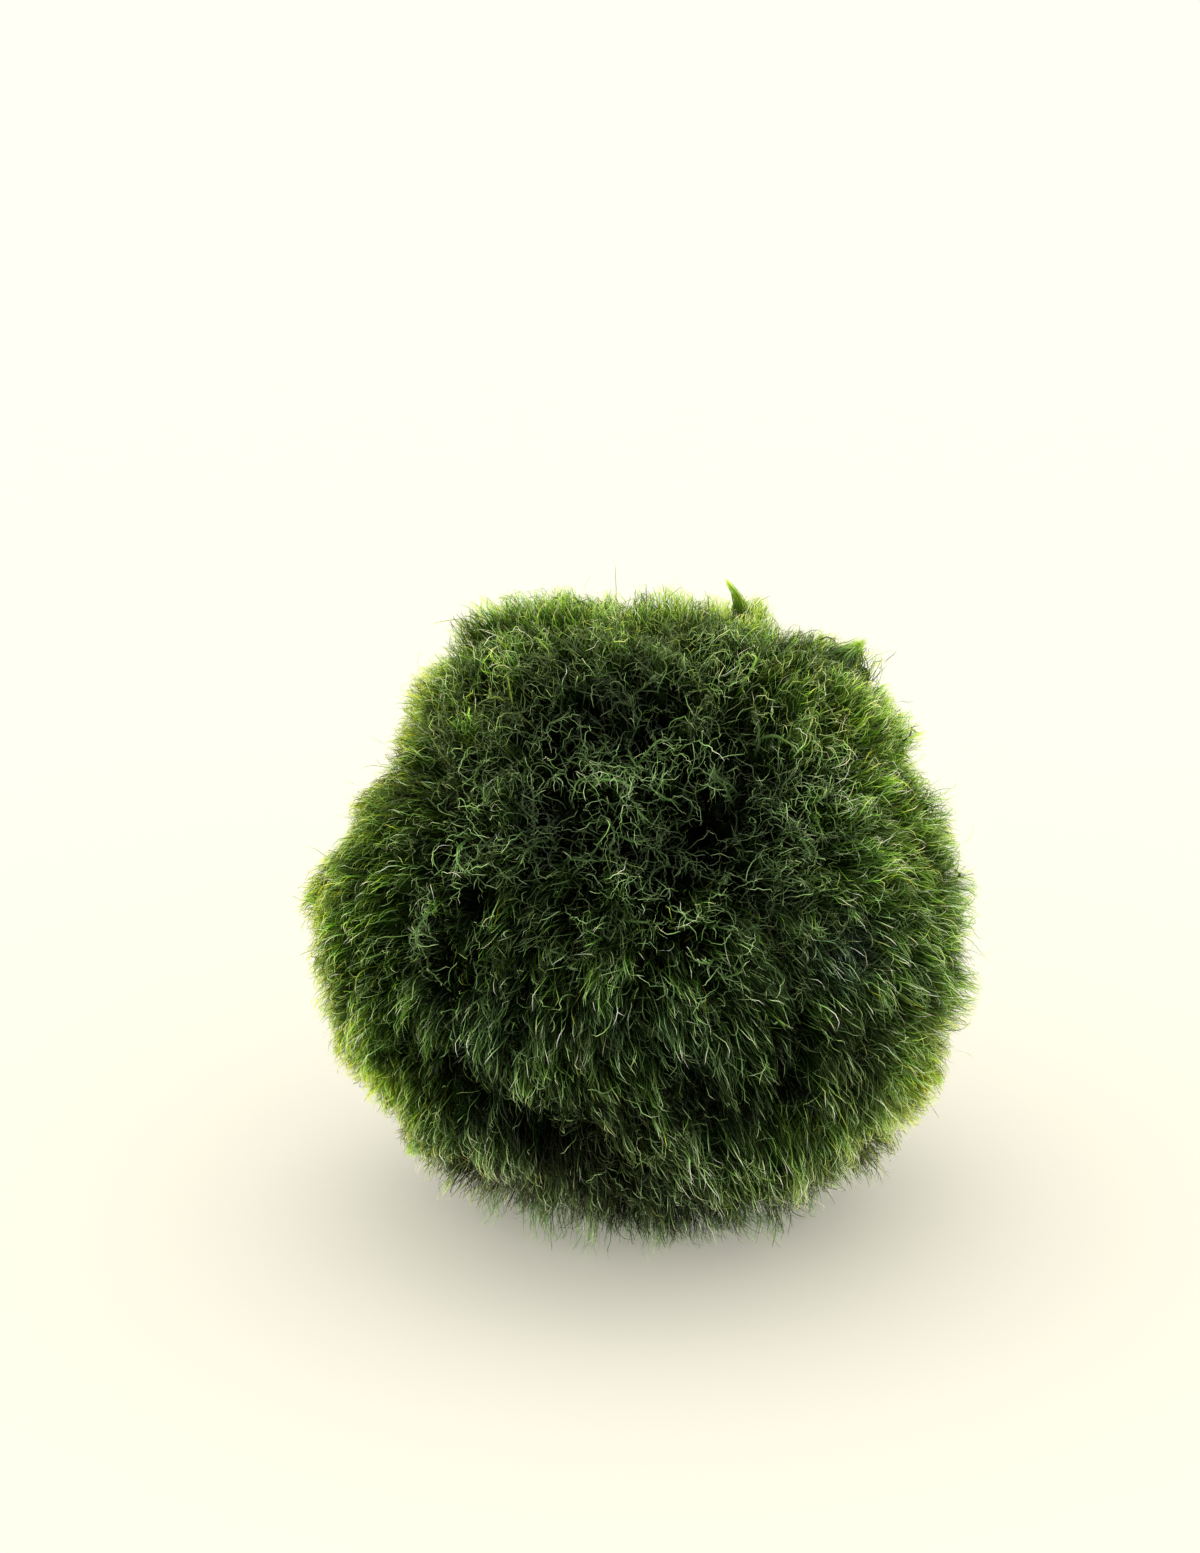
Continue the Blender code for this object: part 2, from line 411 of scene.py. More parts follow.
def make_tufts():
    """The solid's tufts: their tips and leans, and their height, half width and length."""
    turn = math.pi * (3 - math.sqrt(5))
    spacing = math.sqrt(4 * math.pi / TUFT_COUNT)
    noise.seed_set(SEED)
    tips, sizes = [], []
    for i in range(TUFT_COUNT):
        z = 1 - 2 * (i + 0.5) / TUFT_COUNT
        across = math.sqrt(1 - z * z)
        even = Vector((across * math.cos(i * turn), across * math.sin(i * turn), z))
        tips.append((even + noise.random_unit_vector() * TUFT_STRAY * spacing).normalized()[:])
        small, large = TUFT_SIZES
        sizes.append([
            mean * (small + (large - small) * noise.random())
            for mean in (TUFT_HEIGHT, TUFT_HALF_WIDTH, TUFT_LENGTH)
        ])
    for round_deg, toward_deg, height, half_width, length in LOCKS:
        tips.append(facing(round_deg, toward_deg))
        sizes.append([height * MM, half_width * MM, length * MM])
    tips = np.array(tips)
    return tips, unit(field(tips)), np.array(sizes)


def make_locks():
    """The locks of filaments, much smaller than the tufts: tips, leans and sizes, like the tufts'."""
    tips = even_directions(LOCK_COUNT, 0.5)
    sizes = np.array(LOCK_SIZE) * rng.uniform(*TUFT_SIZES, (LOCK_COUNT, 3))
    return tips, unit(comb(tips)), sizes


tufts = make_tufts()
locks = make_locks()
lock_tones = np.random.default_rng(SEED).normal(0, LOCK_TONES, LOCK_COUNT)


def owners(directions, bunches):
    """The tuft or lock on top at each place, how far along it the place is (0 at its tip), how far
    across, and how high it rises there, from 0 at its edge to 1."""
    if len(directions) > OWNERS_AT_ONCE:
        halves = [owners(part, bunches) for part in np.array_split(directions, 2)]
        return [np.concatenate(pair) for pair in zip(*halves)]
    tips, leans, sizes = bunches
    height, half_width, length = sizes.T
    offset = (directions[:, None] - tips[None]) * radius
    along = np.sum(offset * leans[None], -1)
    sideways = offset - leans[None] * along[..., None]
    along /= length
    across = np.linalg.norm(sideways, axis=-1) / half_width
    rise = np.where(along < 0, 1 + along, 1 - along / TIP_FALL)
    width = TIP_WIDTH + (1 - TIP_WIDTH) * np.clip(-along / TIP_TAPER, 0, 1)
    raised = height * np.maximum(0, rise) * np.maximum(0, 1 - (across / width) ** 2)
    best = raised.argmax(1)
    rows = np.arange(len(directions))
    crest = np.clip(raised[rows, best] / height[best], 0, 1)
    return best, along[rows, best], sideways[rows, best] / radius, crest


# Zones of the best side: the angle round the outline, the angle towards the viewer and the half width
# of each place in degrees, then how strongly it counts


def zone(directions, places):
    """How much each direction lies in these places together."""
    total = 0
    for round_deg, toward_deg, half_width_deg, amount in places:
        total = total + near(directions, round_deg, toward_deg, half_width_deg) * amount
    return total


# Where the filaments are matted
MATTED = (
    (100, 62, 24, 1), (40, 68, 16, 1), (128, 34, 20, 0.6), (90, 28, 22, 0.6), (50, 36, 18, 0.6),
    (30, 46, 14, 0.5),
)

# Dark hollows between matted threads, the left crease and the undercuts below the large locks, in mm. They
# are deeper, and the filaments in them are painted darker, which is painted shade
HOLES = (
    (83, 60, 4.5, 0.6), (72, 52, 6, 1.2), (58, 47, 5, 1.4), (45, 70, 5.5, 2.4), (108, 70, 3, 1),
    (129, 62, 4, 1.2), (146, 36, 5, 1.6), (159, 42, 5, 2), (172, 40, 5, 1.4), (185, 56, 6, 2),
    (203, 47, 5, 0.8), (207, 48, 5, 0.8), (213, 60, 4, 0.6), (226, 39, 5, 2), (224, 31, 5, 1.2),
    (248, 38, 6, 2.2), (289, 50, 4.5, 0.8), (303, 40, 5, 2.4), (316, 50, 5, 1.6), (322, 34, 5, 1.4),
    (309, 77, 4, 1.2), (58, 28, 4, 0.9),
)

# Places painted lighter than what lies round them: painted light, among it the light from the surface along
# the bottom of the outline
LIT = (
    (5, 10, 14, 0.2), (10, 66, 5, 1), (13, 41, 12, 1), (33, 61, 5, 0.5), (38, 20, 10, 1),
    (38, 38, 10, 1.7), (40, 34, 6, 1.2), (45, 47, 5, 1), (48, 2, 6, 0.5), (60, 68, 12, 0.6),
    (62, 15, 14, 0.9), (63, 33, 6, 1.6), (65, 39, 9, 0.8), (68, 42, 5, 0.7), (70, 61, 4, 0.8),
    (71, 36, 9, 0.7), (72, 49, 4, 0.8), (75, 60, 4, 0.8), (79, 27, 7, 1.1), (88, 63, 5, 0.6),
    (90, 18, 18, 0.3), (92, 77, 5, 0.8), (100, 14, 14, 0.7), (101, 25, 6, 0.6), (106, 67, 5, 1),
    (110, 40, 12, 0.7), (113, 69, 5, 1.9), (118, 4, 7, 1), (120, 63, 6, 0.7), (123, 40, 8, 0.5),
    (125, 30, 6, 0.9), (129, 37, 10, 0.8), (145, 49, 5, 0.8), (145, 84, 4, 0.9), (155, 60, 5, 1),
    (160, 68, 5, 1), (162, 35, 5, 1.2), (167, 49, 7, 3.2), (188, 29, 6, 0.6), (188, 33, 7, 1),
    (195, 54, 5, 2.2), (205, 58, 5, 1.2), (208, 50, 10, 1), (212, 32, 7, 3), (213, 50, 5, 0.9),
    (225, 71, 5, 2.3), (228, 57, 5, 1.3), (235, 22, 8, 2.5), (237, 49, 5, 0.4), (240, 26, 6, 0.6),
    (243, 4, 12, 1.6), (256, 20, 9, 1.2), (264, 42, 6, 1.3), (270, 4, 12, 1.3), (271, 37, 5, 0.3),
    (273, 71, 5, 0.7), (279, 32, 6, 0.9), (283, 74, 9, 1.1), (286, 35, 4, 2.6), (286, 35, 8, 1.3),
    (290, 42, 6, 0.5), (294, 79, 6, 1.7), (301, 52, 5, 0.4), (303, 5, 13, 1.3), (306, 60, 6, 1.4),
    (307, 24, 9, 1.8), (308, 65, 5, 0.8), (313, 33, 5, 1.2), (322, 47, 5, 1.3), (326, 32, 6, 1),
    (329, 77, 6, 1.9), (332, 27, 6, 2.2), (336, 59, 6, 1.6), (358, 57, 5, 1.6),
)

# Places painted darker than what lies round them: painted shade
DIM = (
    (2, 76, 4, 1.8), (6, 49, 5, 1.6), (26, 65, 4, 1.6), (28, 16, 6, 0.6), (37, 67, 4, 1.2),
    (48, 56, 5, 1.7), (49, 82, 5, 1.4), (53, 32, 6, 1), (59, 76, 7, 1.3), (61, 70, 5, 1.3),
    (63, 47, 5, 0.8), (70, 55, 4, 1.3), (88, 36, 8, 0.9), (89, 53, 5, 2.1), (103, 53, 6, 2.3),
    (109, 44, 6, 0.9), (126, 45, 5, 1.8), (133, 73, 6, 1.5), (134, 50, 5, 0.7), (142, 67, 5, 2),
    (144, 37, 4, 1), (152, 38, 5, 2.2), (165, 73, 5, 1.4), (168, 30, 6, 1), (172, 36, 5, 1),
    (190, 62, 5, 1.8), (200, 39, 5, 2), (203, 71, 5, 0.7), (217, 58, 4, 2.4), (217, 81, 5, 1.3),
    (218, 24, 9, 1.2), (222, 28, 5, 1.2), (226, 46, 5, 1.8), (241, 77, 4, 1), (246, 45, 6, 0.6),
    (248, 58, 5, 0.9), (249, 33, 6, 1.7), (260, 63, 5, 0.9), (263, 28, 6, 2.2), (265, 51, 5, 0.9),
    (270, 56, 14, 0.35), (273, 24, 5, 0.9), (284, 48, 6, 1.8), (285, 18, 6, 1.3), (295, 61, 5, 0.9),
    (297, 41, 6, 4.5), (308, 74, 4, 1.4), (318, 54, 5, 1), (322, 35, 6, 0.8), (333, 36, 5, 0.7),
    (336, 51, 5, 0.9), (345, 20, 6, 0.7), (352, 65, 5, 2.2), (353, 61, 5, 1.7),
)

# Where the filaments are young inside the outline, where the rim glow is painted further in too, then where
# they are bluish and brown
FRESH_PLACES = (
    (44, 32, 13, 0.6), (8, 30, 11, 0.4), (82, 34, 13, 0.4), (125, 38, 12, 0.25), (180, 24, 12, 0.2),
    (322, 14, 9, 0.25),
)
BLUE = (
    (310, 37, 7, 1), (346, 45, 8, 0.9), (215, 42, 9, 0.7), (285, 48, 7, 0.5),
)
BROWN = (
    (262, 34, 13, 0.9), (320, 31, 6, 0.9), (280, 22, 9, 0.4),
)

# The pale brown fringe beside the surface: brown filaments, painted partly in the colour of the shaded
# surface seen through them
PALE_FRINGE = (
    (243, 8, 10, 0.9), (268, 8, 11, 0.5), (300, 8, 12, 0.8), (322, 6, 8, 0.5),
)

# Where many of the filaments at the very outline are painted yellow: painted rim glow of light through them
RIM_GLOW_YELLOW = (
    (180, 0, 32, 0.9), (140, 0, 20, 0.5), (222, 0, 18, 0.7), (322, 8, 14, 1), (60, 0, 20, 0.3),
)

# Where the filaments lie flat
LYING = (
    (184, 25, 28, 1), (215, 30, 18, 0.8), (250, 20, 14, 0.6),
)

# Where they are long and sleek
SLEEK = (
    (290, 58, 26, 1), (235, 52, 18, 0.8), (320, 45, 18, 1),
)


def matted(directions):
    """How matted and curled the filaments are: most in the upper front, round the crown."""
    patches = np.clip(waves(directions, 0.9, 31) - 0.25, 0, 1) * 0.7
    return np.clip(zone(directions, MATTED) + patches, 0, 1)


def netting(directions):
    """How far into the dark meshes of the matted net a place is: 0 on its threads, up to 1 between. Their
    darkness is partly painted shade on the filaments there.
    """
    folds = np.abs(waves(directions, NET_SPACING, 32, 60)) + 0.12 * waves(directions, 0.07, 34, 60)
    return np.clip((folds - NET_THREADS) * 2.2, 0, 1) * matted(directions)


def sunken(directions):
    """How deep the gaps are, in metres: meshes of the matted net, creases and undercuts."""
    return np.minimum(zone(directions, HOLES) + netting(directions) * NET_DEPTH, DEEPEST) * MM


def tone(directions):
    """How much lighter or darker the filaments are painted than what lies round them, as a factor: painted
    light and painted shade at the listed places.
    """
    return np.exp(PLACE_LIGHT * (zone(directions, LIT) - zone(directions, DIM)))


def belt(directions, half_width_deg):
    """1 round the outline of the best side, falling off towards the viewer."""
    toward = np.degrees(np.arcsin(directions @ facing(0, 90)))
    return 0.5 ** ((toward / half_width_deg) ** 2)


def youth_and_rim_glow(directions):
    """How young and yellow-green the algae are, and where rim glow is painted: a belt round the best side,
    which is painted rim glow of light through the filaments, and patches behind.
    """
    toward = np.arcsin(np.clip(directions @ facing(0, 90), -1, 1))
    front = np.exp(-((np.maximum(toward, 0) / math.radians(24)) ** 2))
    behind = 0.45 + 0.55 * np.exp(-((np.minimum(toward, 0) / math.radians(30)) ** 2))
    low_down = np.clip((-directions[:, 2] - 0.45) / 0.3, 0, 1)
    patchy = 0.85 + 0.35 * waves(directions, 0.7, 33)
    inner = zone(directions, FRESH_PLACES)
    return np.clip((front * behind * (1 - low_down) + inner) * patchy, 0, 1)


# Strands: many tapering strips or tubes, joined into one mesh for each piece


def strand_faces(rings, sides):
    """The triangles of one strand of this many rings and a tip. Two corners a ring make a flat strip,
    and three or more make a tube with a cap at its root."""
    faces = []
    spans = range(sides if sides > 2 else 1)
    for ring in range(rings - 1):
        for side in spans:
            a, b = ring * sides + side, ring * sides + (side + 1) % sides
            faces += [(a, b, b + sides), (a, b + sides, a + sides)]
    last, tip = (rings - 1) * sides, rings * sides
    faces += [(last + side, last + (side + 1) % sides, tip) for side in spans]
    if sides > 2:
        faces += [(side + 1, side, 0) for side in range(1, sides - 1)]
    return np.array(faces)


def strand_map(rings, sides):
    """Where each corner of a strand's triangles lies in the strand's own square of the map."""
    cap = 0.12 if sides > 2 else 0
    heights = cap + (1 - cap) * np.arange(rings + 1) / rings
    spans = sides if sides > 2 else 1
    corners = []
    for ring in range(rings - 1):
        for side in range(spans):
            left, right = side / spans, (side + 1) / spans
            below, above = heights[ring], heights[ring + 1]
            corners += [(left, below), (right, below), (right, above)]
            corners += [(left, below), (right, above), (left, above)]
    for side in range(spans):
        corners += [(side / spans, heights[-2]), ((side + 1) / spans, heights[-2])]
        corners += [((side + 0.5) / spans, 1)]
    if sides > 2:
        wedge = cap / (sides - 2)
        for side in range(sides - 2):
            corners += [(1, side * wedge), (0.5, (side + 0.8) * wedge), (0, side * wedge)]
    return np.array(corners)


def paint(mesh, colours):
    """Gives a mesh these colours, one for each corner, for its material to read."""
    colours = np.concatenate((colours, np.ones((*colours.shape[:-1], 1))), -1)
    layer = mesh.attributes.new("colour", "FLOAT_COLOR", "POINT")
    layer.data.foreach_set("color", colours.astype(np.float32).ravel())


def strand_mesh(name, material, points, widths, colours, gain, sides=2):
    """One piece of many strands. points holds each strand's line from root to tip, widths its full
    width at each point but the tip, colours its colour at each point and gain how bright it is."""
    count, rings = len(points), points.shape[1] - 1
    steps = np.diff(points, axis=1)
    way = unit(np.concatenate((steps[:, :1], steps[:, :-1] + steps[:, 1:]), 1))
    outward = unit(points[:, :1] - middle)
    first = unit(np.cross(way, outward + 0.05 * rng.normal(size=outward.shape)))
    second = np.cross(way, first)
    turn = rng.uniform(0, 2 * math.pi, (count, 1, 1)) + np.arange(sides) * 2 * math.pi / sides
    turn = turn + rng.normal(0, TWIST, (count, 1, 1)) * np.linspace(0, 1, rings)[None, :, None]
    circle = first[:, :, None] * np.cos(turn)[..., None] + second[:, :, None] * np.sin(turn)[..., None]
    rims = points[:, :-1, None] + circle * (widths / 2)[:, :, None, None]
    corners = np.concatenate((rims.reshape(count, -1, 3), points[:, -1:]), 1)
    corners[..., 2] = np.maximum(corners[..., 2], low[2] + 0.02 * MM)
    each = rings * sides + 1
    faces = strand_faces(rings, sides)[None] + np.arange(count)[:, None, None] * each
    mesh = bpy.data.meshes.new(name)
    mesh.vertices.add(count * each)
    mesh.vertices.foreach_set("co", corners.astype(np.float32).ravel())
    mesh.loops.add(faces.size)
    mesh.loops.foreach_set("vertex_index", faces.astype(np.int32).ravel())
    mesh.polygons.add(faces.size // 3)
    mesh.polygons.foreach_set("loop_start", np.arange(0, faces.size, 3, dtype=np.int32))
    mesh.update(calc_edges=True)
    mesh.shade_smooth()
    ring_of = np.append(np.repeat(np.arange(rings), sides), rings)
    paint(mesh, np.clip(colours * gain[:, None, None], 0, LIGHTEST)[:, ring_of])
    squares = math.ceil(math.sqrt(count))
    place = np.stack((np.arange(count) % squares, np.arange(count) // squares), 1)[:, None]
    inset = 0.08
    uv = (place + inset + strand_map(rings, sides)[None] * (1 - 2 * inset)) / squares
    layer = mesh.uv_layers.new(name="OFBake")
    layer.data.foreach_set("uv", uv.astype(np.float32).ravel())
    mesh.materials.append(material)
    piece = bpy.data.objects.new(name, mesh)
    bpy.context.scene.collection.objects.link(piece)
    return piece


def strand_shares(points):
    """Where a strand's points are on its way from root to tip: a little closer towards the tip."""
    return np.linspace(0, 1, points) ** 0.85


def tapered(count, widths, steps, at_tip):
    """A width for each of these strands at each step, from a range in mm and narrowing to this share."""
    return rng.uniform(*widths, (count, 1)) * np.linspace(1, at_tip, steps) * MM


def bent_lines(roots, tips, root_ways, tip_ways, shares):
    """Points along smooth curves from roots to tips that leave and arrive in the given ways."""
    span = np.linalg.norm(tips - roots, axis=1, keepdims=True)
    a, b = roots + root_ways * span * 0.42, tips - tip_ways * span * 0.38
    t = shares[None, :, None]
    roots, a, b, tips = (p[:, None] for p in (roots, a, b, tips))
    return (1 - t) ** 3 * roots + 3 * (1 - t) ** 2 * t * a + 3 * (1 - t) * t * t * b + t**3 * tips


def curled(lines, amount, shares, often):
    """The lines with a smooth wave across each, growing towards its tip. often scales its turns."""
    count = len(lines)
    chord = unit(lines[:, -1] - lines[:, 0])
    first = unit(np.cross(chord, rng.normal(size=chord.shape)))
    second = np.cross(chord, first)
    for across in (first, second):
        turns = rng.uniform(0.3, 0.85, (count, 1)) * often[:, None]
        phase = rng.uniform(0, 2 * math.pi, (count, 1))
        wave = np.sin(2 * math.pi * turns * shares + phase) * shares * amount[:, None]
        lines = lines + across[:, None] * wave[..., None]
    return lines


class Clumps:
    """Small clumps of filaments: where their tips lie, how they lean and what they look like."""

    def __init__(self, count, stray=0.5, wild=0.17):
        # Few grow on the underside, and the fewer the deeper a gap is
        tips = even_directions(count, stray)
        shown = np.where(tips[:, 2] < -0.72, 0.4, 1) * np.exp(-BARE * sunken(tips) / MM)
        self.tips = tips[rng.random(count) < shown]
        best, along, sideways, lock_crest = owners(self.tips, locks)
        tuft_crest = owners(self.tips, tufts)[3]
        mat = matted(self.tips)

        # Those of one lock draw together towards its tip
        drawn = GATHER * np.clip(1 + along, 0, 1) * (1 - mat) * (1 - 0.6 * youth_and_rim_glow(self.tips))
        self.tips = unit(self.tips - sideways * drawn[:, None])
        n = len(self.tips)

        # They lean along their lock and as their place is combed, or at random where they are matted,
        # and stand up near the crown
        left_to_tip = np.maximum(-along, 0.12)[:, None] * locks[2][best, 2:3]
        combed = locks[1][best] * left_to_tip - sideways * radius * 0.9
        lean = unit(tangent_part(combed, self.tips)) * 0.7 + unit(comb(self.tips)) * 0.6
        own = random_tangents(self.tips) * (wild + 0.9 * mat[:, None])
        lean = lean * (1 - 0.7 * mat[:, None]) + own
        size = np.clip(np.linalg.norm(field(self.tips), axis=1, keepdims=True) * 1.3, 0.35, 1)
        crown = np.arccos(np.clip(self.tips @ facing(*CROWN), -1, 1)) / math.radians(14)
        flat = np.maximum(size * np.clip(crown, 0.2, 1)[:, None], mat[:, None] * 0.8)
        self.lean = unit(lean) * flat

        self.matted = mat
        self.mesh = netting(self.tips)
        self.youth_and_rim_glow = youth_and_rim_glow(self.tips)
        self.crest = 0.5 * lock_crest + 0.5 * tuft_crest
        edges = (1 - lock_crest) ** 2 * LOCK_EDGE + (1 - tuft_crest) ** 2 * EDGE_DEPTH
        self.sunken = sunken(self.tips) + edges * (1 - 0.6 * self.youth_and_rim_glow)
        sleek = np.clip(zone(self.tips, SLEEK), 0, 1)
        lying = np.clip(zone(self.tips, LYING) + 0.6 * sleek, 0, 1)
        length = rng.uniform(0.6, 1.8, n) * (1.2 - 0.55 * mat) * (1 - 0.25 * self.youth_and_rim_glow)
        self.length = length * (1 + 0.6 * sleek) * MM
        lift = (0.26 + 0.12 * self.youth_and_rim_glow) * (1 - 0.7 * lying)
        self.lift = np.clip(rng.normal(lift, 0.12 + 0.25 * mat), 0.03, 1)
        self.flat = lying
        self.tone = lock_tones[best] + rng.normal(0, 0.25, n)


def grow(
    clumps, per_clump, points, spread, tip_spread, depth, drop, proud, widths, stretch=1.0, curl=0.16
):
    """Strands for each clump: their lines, widths, the clump that each belongs to and how far below the
    skin each ends."""
    which = np.repeat(np.arange(len(clumps.tips)), per_clump)
    n = len(which)
    tip_dir = clumps.tips[which]
    lean = clumps.lean[which]
    mat = clumps.matted[which]
    reach = read_map(skin, tip_dir)[:, None]
    length = (clumps.length[which] * rng.uniform(0.7, 1.25, n) * stretch)[:, None]
    root_dir = unit(tip_dir - lean * length / reach)
    offset = random_tangents(tip_dir)
    root_dir = unit(root_dir + offset * spread / reach)
    loose = random_tangents(tip_dir) * (0.14 + 0.2 * mat[:, None]) * MM
    tip_dir = unit(tip_dir + (offset * tip_spread + loose) / reach)
    below = np.abs(rng.normal(0, 1, n)) * drop + clumps.sunken[which]
    foot = np.clip(-tip_dir[:, 2] - 0.5, 0, 0.4) * FOOT_PROUD
    tips = on_skin(tip_dir, proud + foot - below - zone(tip_dir, DRAWN_IN) * MM)
    depth = depth * (1 - 0.4 * clumps.flat[which])
    root_reach = read_map(skin, root_dir) - depth - clumps.sunken[which]
    roots = middle + root_dir * root_reach[:, None]
    root_ways = unit(root_dir + lean * 0.25 + rng.normal(size=(n, 3)) * 0.15)
    lift = clumps.lift[which][:, None]
    tip_ways = unit(unit(lean + 1e-6) * (1 - lift) + tip_dir * lift + rng.normal(size=(n, 3)) * 0.3)
    shares = strand_shares(points)
    lines = bent_lines(roots, tips, root_ways, tip_ways, shares)
    curl = curl * (CURL_COMBED + CURL_MATTED * mat + CURL_FRESH * clumps.youth_and_rim_glow[which])
    curl = np.minimum(curl * np.exp(rng.normal(0, 0.5, n)), MOST_CURL) * MM
    lines = curled(lines, curl, shares, 1 + 0.7 * mat)
    kink = KINK * (0.8 + 0.5 * mat)[:, None, None] * np.minimum(shares * 3, 1)[None, :, None]
    lines = lines + rng.normal(size=lines.shape) * kink
    taper = 1 - 0.5 * shares[:-1] ** 2
    width = rng.uniform(*widths, n)[:, None] * taper[None] * MM
    return lines, width, which, below


def wander(starts, headings, steps, step, stray, heights):
    """Lines that wander over the skin from their starts: points, directions and headings at each step."""
    way, heading = starts, headings
    bend = rng.normal(0, stray * 0.5, (len(starts), 1))
    ways, all_headings = [way], [heading]
    for _ in range(steps):
        way = unit(way + heading * step / read_map(skin, way)[:, None])
        turn = bend + rng.normal(0, stray, bend.shape)
        heading = unit(tangent_part(heading, way))
        heading = heading * np.cos(turn) + np.cross(way, heading) * np.sin(turn)
        ways.append(way)
        all_headings.append(heading)
    ways = np.stack(ways, 1)
    return on_skin(ways, heights), ways, np.stack(all_headings, 1)


# Colours along a strand, from its root to its tip: near black at the root, which is painted shade of the
# depths as well as the older filaments' darker colour

PLACES = (0, 0.45, 0.75, 1)
GREEN = ((0, 0.001, 0), (0.002, 0.007, 0), (0.015, 0.042, 0.005), (0.09, 0.168, 0.05))
# Young yellow-green algae, lighter, and also the painted rim glow of light through the filaments
FRESH_AND_RIM_GLOW = ((0.001, 0.002, 0), (0.024, 0.058, 0.003), (0.108, 0.215, 0.017), (0.268, 0.37, 0.062))
# Yellow, also painted at the outline as rim glow
YELLOW = ((0.001, 0.002, 0), (0.038, 0.05, 0.001), (0.185, 0.2, 0.008), (0.42, 0.405, 0.04))
PALE_BROWN = ((0.004, 0.004, 0.002), (0.025, 0.026, 0.012), (0.085, 0.086, 0.045), (0.24, 0.235, 0.15))
DARK_BLUE = ((0, 0.001, 0.001), (0.001, 0.004, 0.003), (0.008, 0.019, 0.015), (0.044, 0.078, 0.064))
BROWNISH = ((0.001, 0.001, 0), (0.006, 0.008, 0.002), (0.03, 0.042, 0.014), (0.12, 0.14, 0.07))
# Pale strands: pale filaments, and painted highlight for the glint of light along wet filaments
PALE_AND_GLINT = ((0.001, 0.003, 0), (0.025, 0.05, 0.014), (0.15, 0.245, 0.105), (0.35, 0.465, 0.28))
STEM = ((0.003, 0.008, 0.001), (0.034, 0.078, 0.016), (0.07, 0.13, 0.036), (0.13, 0.19, 0.08))
THREAD = ((0.017, 0.036, 0.009), (0.106, 0.185, 0.07), (0.215, 0.325, 0.15), (0.34, 0.455, 0.26))


def colours_along(stops, shares):
    """The colours of a list of stops at these shares of the way from root to tip."""
    return np.stack([np.interp(shares, PLACES, channel) for channel in zip(*stops)], -1)


def strand_colours(clumps, which, below, points, pale_and_glint_share, brightness, variety):
    """The colour of every strand at each of its points, and how bright each strand is."""
    n = len(which)
    at = clumps.tips[which]
    glow_and_youth = np.clip(clumps.youth_and_rim_glow[which] + rng.normal(0, 0.14, n), 0, 1)
    spread = rng.normal(0, variety, n) * (1 - 0.6 * glow_and_youth)
    gain = brightness * np.exp(clumps.tone[which] + spread)
    # Lighter where young and where rim glow is painted, darker where matted
    gain *= np.exp(YOUTH_AND_RIM_GLOW_LIGHT * glow_and_youth + MATTED_LIGHT * clumps.matted[which] * (1 - glow_and_youth))
    # Painted light on the crests of locks and tufts with painted shade off them, and painted shade on tips
    # ending deeper
    shade = CREST_LIGHT * (clumps.crest[which] - 0.4) + DEPTH_LIGHT * below / MM
    gain *= np.exp(shade * (1 - 0.5 * glow_and_youth))
    # Painted light and shade at the listed places, and painted shade in gaps and in the net's meshes
    gain *= tone(at) * np.exp(HOLE_LIGHT * zone(at, HOLES) + MESH_LIGHT * clumps.mesh[which])
    # Yellow strands: a few at random, more where young, and at the outline painted yellow as rim glow
    yellow_share = 0.012 + 0.2 * glow_and_youth**3 + zone(at, RIM_GLOW_YELLOW) * belt(at, 15)
    weights = {
        FRESH_AND_RIM_GLOW: glow_and_youth,
        YELLOW: (rng.random(n) < yellow_share) * rng.uniform(0.3, 1, n),
        DARK_BLUE: np.clip(zone(at, BLUE) + 0.5 * waves(at, 0.6, 43) - 0.15, 0, 1) * (1 - glow_and_youth),
        BROWNISH: np.clip(zone(at, BROWN) + rng.normal(0, 0.08, n), 0, 1),
        PALE_BROWN: np.clip(zone(at, PALE_FRINGE) + rng.normal(0, 0.15, n), 0, 1),
        # Pale strands: pale filaments, and painted highlight for glints along wet filaments
        PALE_AND_GLINT: (rng.random(n) < pale_and_glint_share * (0.8 + 0.3 * clumps.matted[which])) * rng.uniform(0.35, 1, n),
    }
    shares = strand_shares(points)
    colours = np.broadcast_to(colours_along(GREEN, shares), (n, points, 3))
    for stops, weight in weights.items():
        colours = mixed(colours, colours_along(stops, shares), np.clip(weight, 0, 1)[:, None, None])
    return colours, gain


# Materials


def set_inputs(node, values):
    """Sets these inputs of a node, each by its name or number."""
    for key, value in values.items():
        node.inputs[key].default_value = value


def plain_material(name, roughness, gloss):
    """A material and its Principled shader."""
    material = bpy.data.materials.new(name)
    material.use_nodes = True
    surface = material.node_tree.nodes["Principled BSDF"]
    set_inputs(surface, {"Roughness": roughness, "Specular IOR Level": gloss})
    return material, surface


def coloured_material(name, roughness, gloss):
    """A material, its Principled shader and a node that reads the mesh's own colours."""
    material, surface = plain_material(name, roughness, gloss)
    colour = material.node_tree.nodes.new("ShaderNodeAttribute")
    colour.attribute_name = "colour"
    return material, surface, colour


def multiplied(tree, source):
    """A node that multiplies a colour by its own second colour."""
    node = tree.nodes.new("ShaderNodeMix")
    node.data_type = "RGBA"
    node.blend_type = "MULTIPLY"
    node.inputs["Factor"].default_value = 1
    tree.links.new(source, node.inputs[6])
    return node


